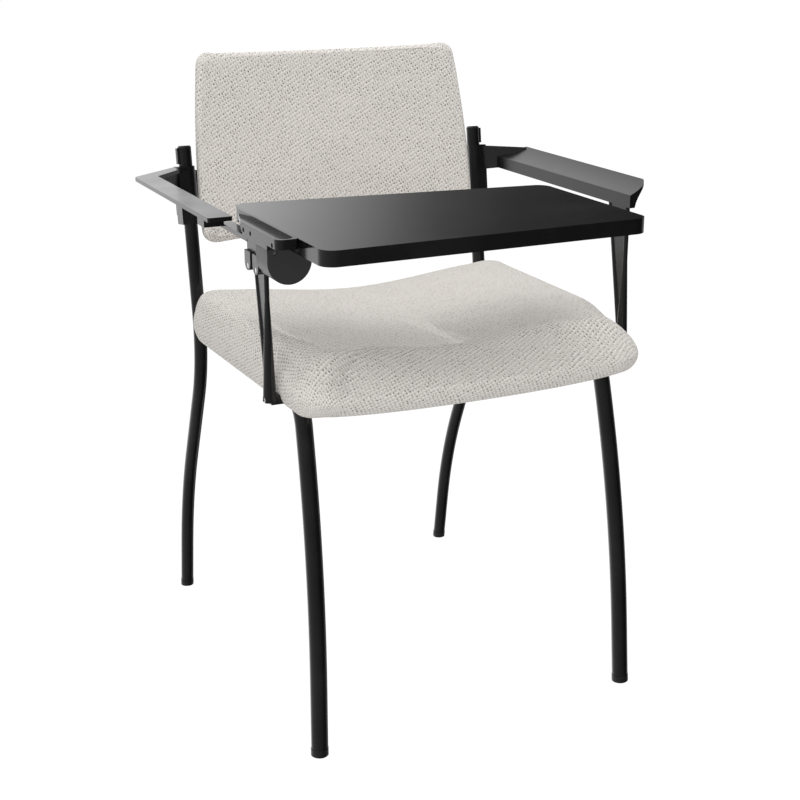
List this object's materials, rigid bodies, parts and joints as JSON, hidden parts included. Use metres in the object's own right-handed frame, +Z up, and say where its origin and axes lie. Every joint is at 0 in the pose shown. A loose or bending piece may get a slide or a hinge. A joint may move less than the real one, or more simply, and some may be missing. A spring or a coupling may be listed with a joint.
{
  "type": "tablet arm chair",
  "caption": "Stacking visitor chair with bent black tube legs, light woven upholstery, a wing armrest and, on the other side, a writing tablet that lifts up and swings away",
  "frame": {"origin": "on the floor, under the middle of the chair's overall footprint", "axes": "+X to the right of someone who faces the chair, the chair faces -Y and its backrest is towards +Y, +Z up"},
  "size_m": [0.5932, 0.6588, 0.8399],
  "materials": {
    "black_tube": "gloss powder coat",
    "black_casting": "gloss painted casting",
    "black_glide": "satin",
    "black_shell": "satin",
    "black_board": "gloss black laminate on composite board",
    "ply": "raw pressed ply",
    "zinc_steel": "zinc plated",
    "pin_steel": "ground steel",
    "bearing_bronze": "plain bearing bronze",
    "upholstery": "light warm grey woven cloth with small dark flecks"
  },
  "bodies": {
    "frame": {"front_leg_left": "black_tube", "front_leg_right": "black_tube", "rear_leg_left": "black_tube", "rear_leg_right": "black_tube", "cross_tube_front": "black_tube", "cross_tube_rear": "black_tube", "foot_front_left": "black_glide", "foot_front_right": "black_glide", "foot_rear_left": "black_glide", "foot_rear_right": "black_glide", "cap_left": "black_glide", "cap_right": "black_glide", "seat_pan": "ply", "seat_screws": "zinc_steel", "seat_cushion": "upholstery", "back_shell": "black_shell", "back_cushion": "upholstery", "armrest_right": "black_casting", "armrest_left": "black_casting", "sleeve_bolts_left": "zinc_steel", "sleeve_bolts_right": "zinc_steel", "post_left": "black_casting", "post_right": "black_casting", "post_lug_left": "black_tube", "post_lug_right": "black_tube", "post_bolt_left": "zinc_steel", "post_bolt_right": "zinc_steel", "hinge_base": "black_casting", "base_screws": "zinc_steel", "flip_pin": "pin_steel"},
    "hinge_drum": {"hinge_drum": "black_casting", "flip_bushes": "bearing_bronze", "swing_pin": "pin_steel"},
    "tablet": {"tablet": "black_board", "tablet_rail": "black_casting", "tablet_screws": "zinc_steel", "swing_bush": "bearing_bronze"}
  },
  "joints": [
    {"name": "tablet_flip", "type": "hinge", "parent": "frame", "child": "hinge_drum", "pos_m": [-0.2409, -0.18035, 0.6534], "axis": [0, -1, 0], "range_deg": [0, 90]},
    {"name": "tablet_swing", "type": "hinge", "parent": "hinge_drum", "child": "tablet", "pos_m": [-0.2145, -0.19785, 0.65], "axis": [0, 0, -1], "range_deg": [0, 90]}
  ]
}
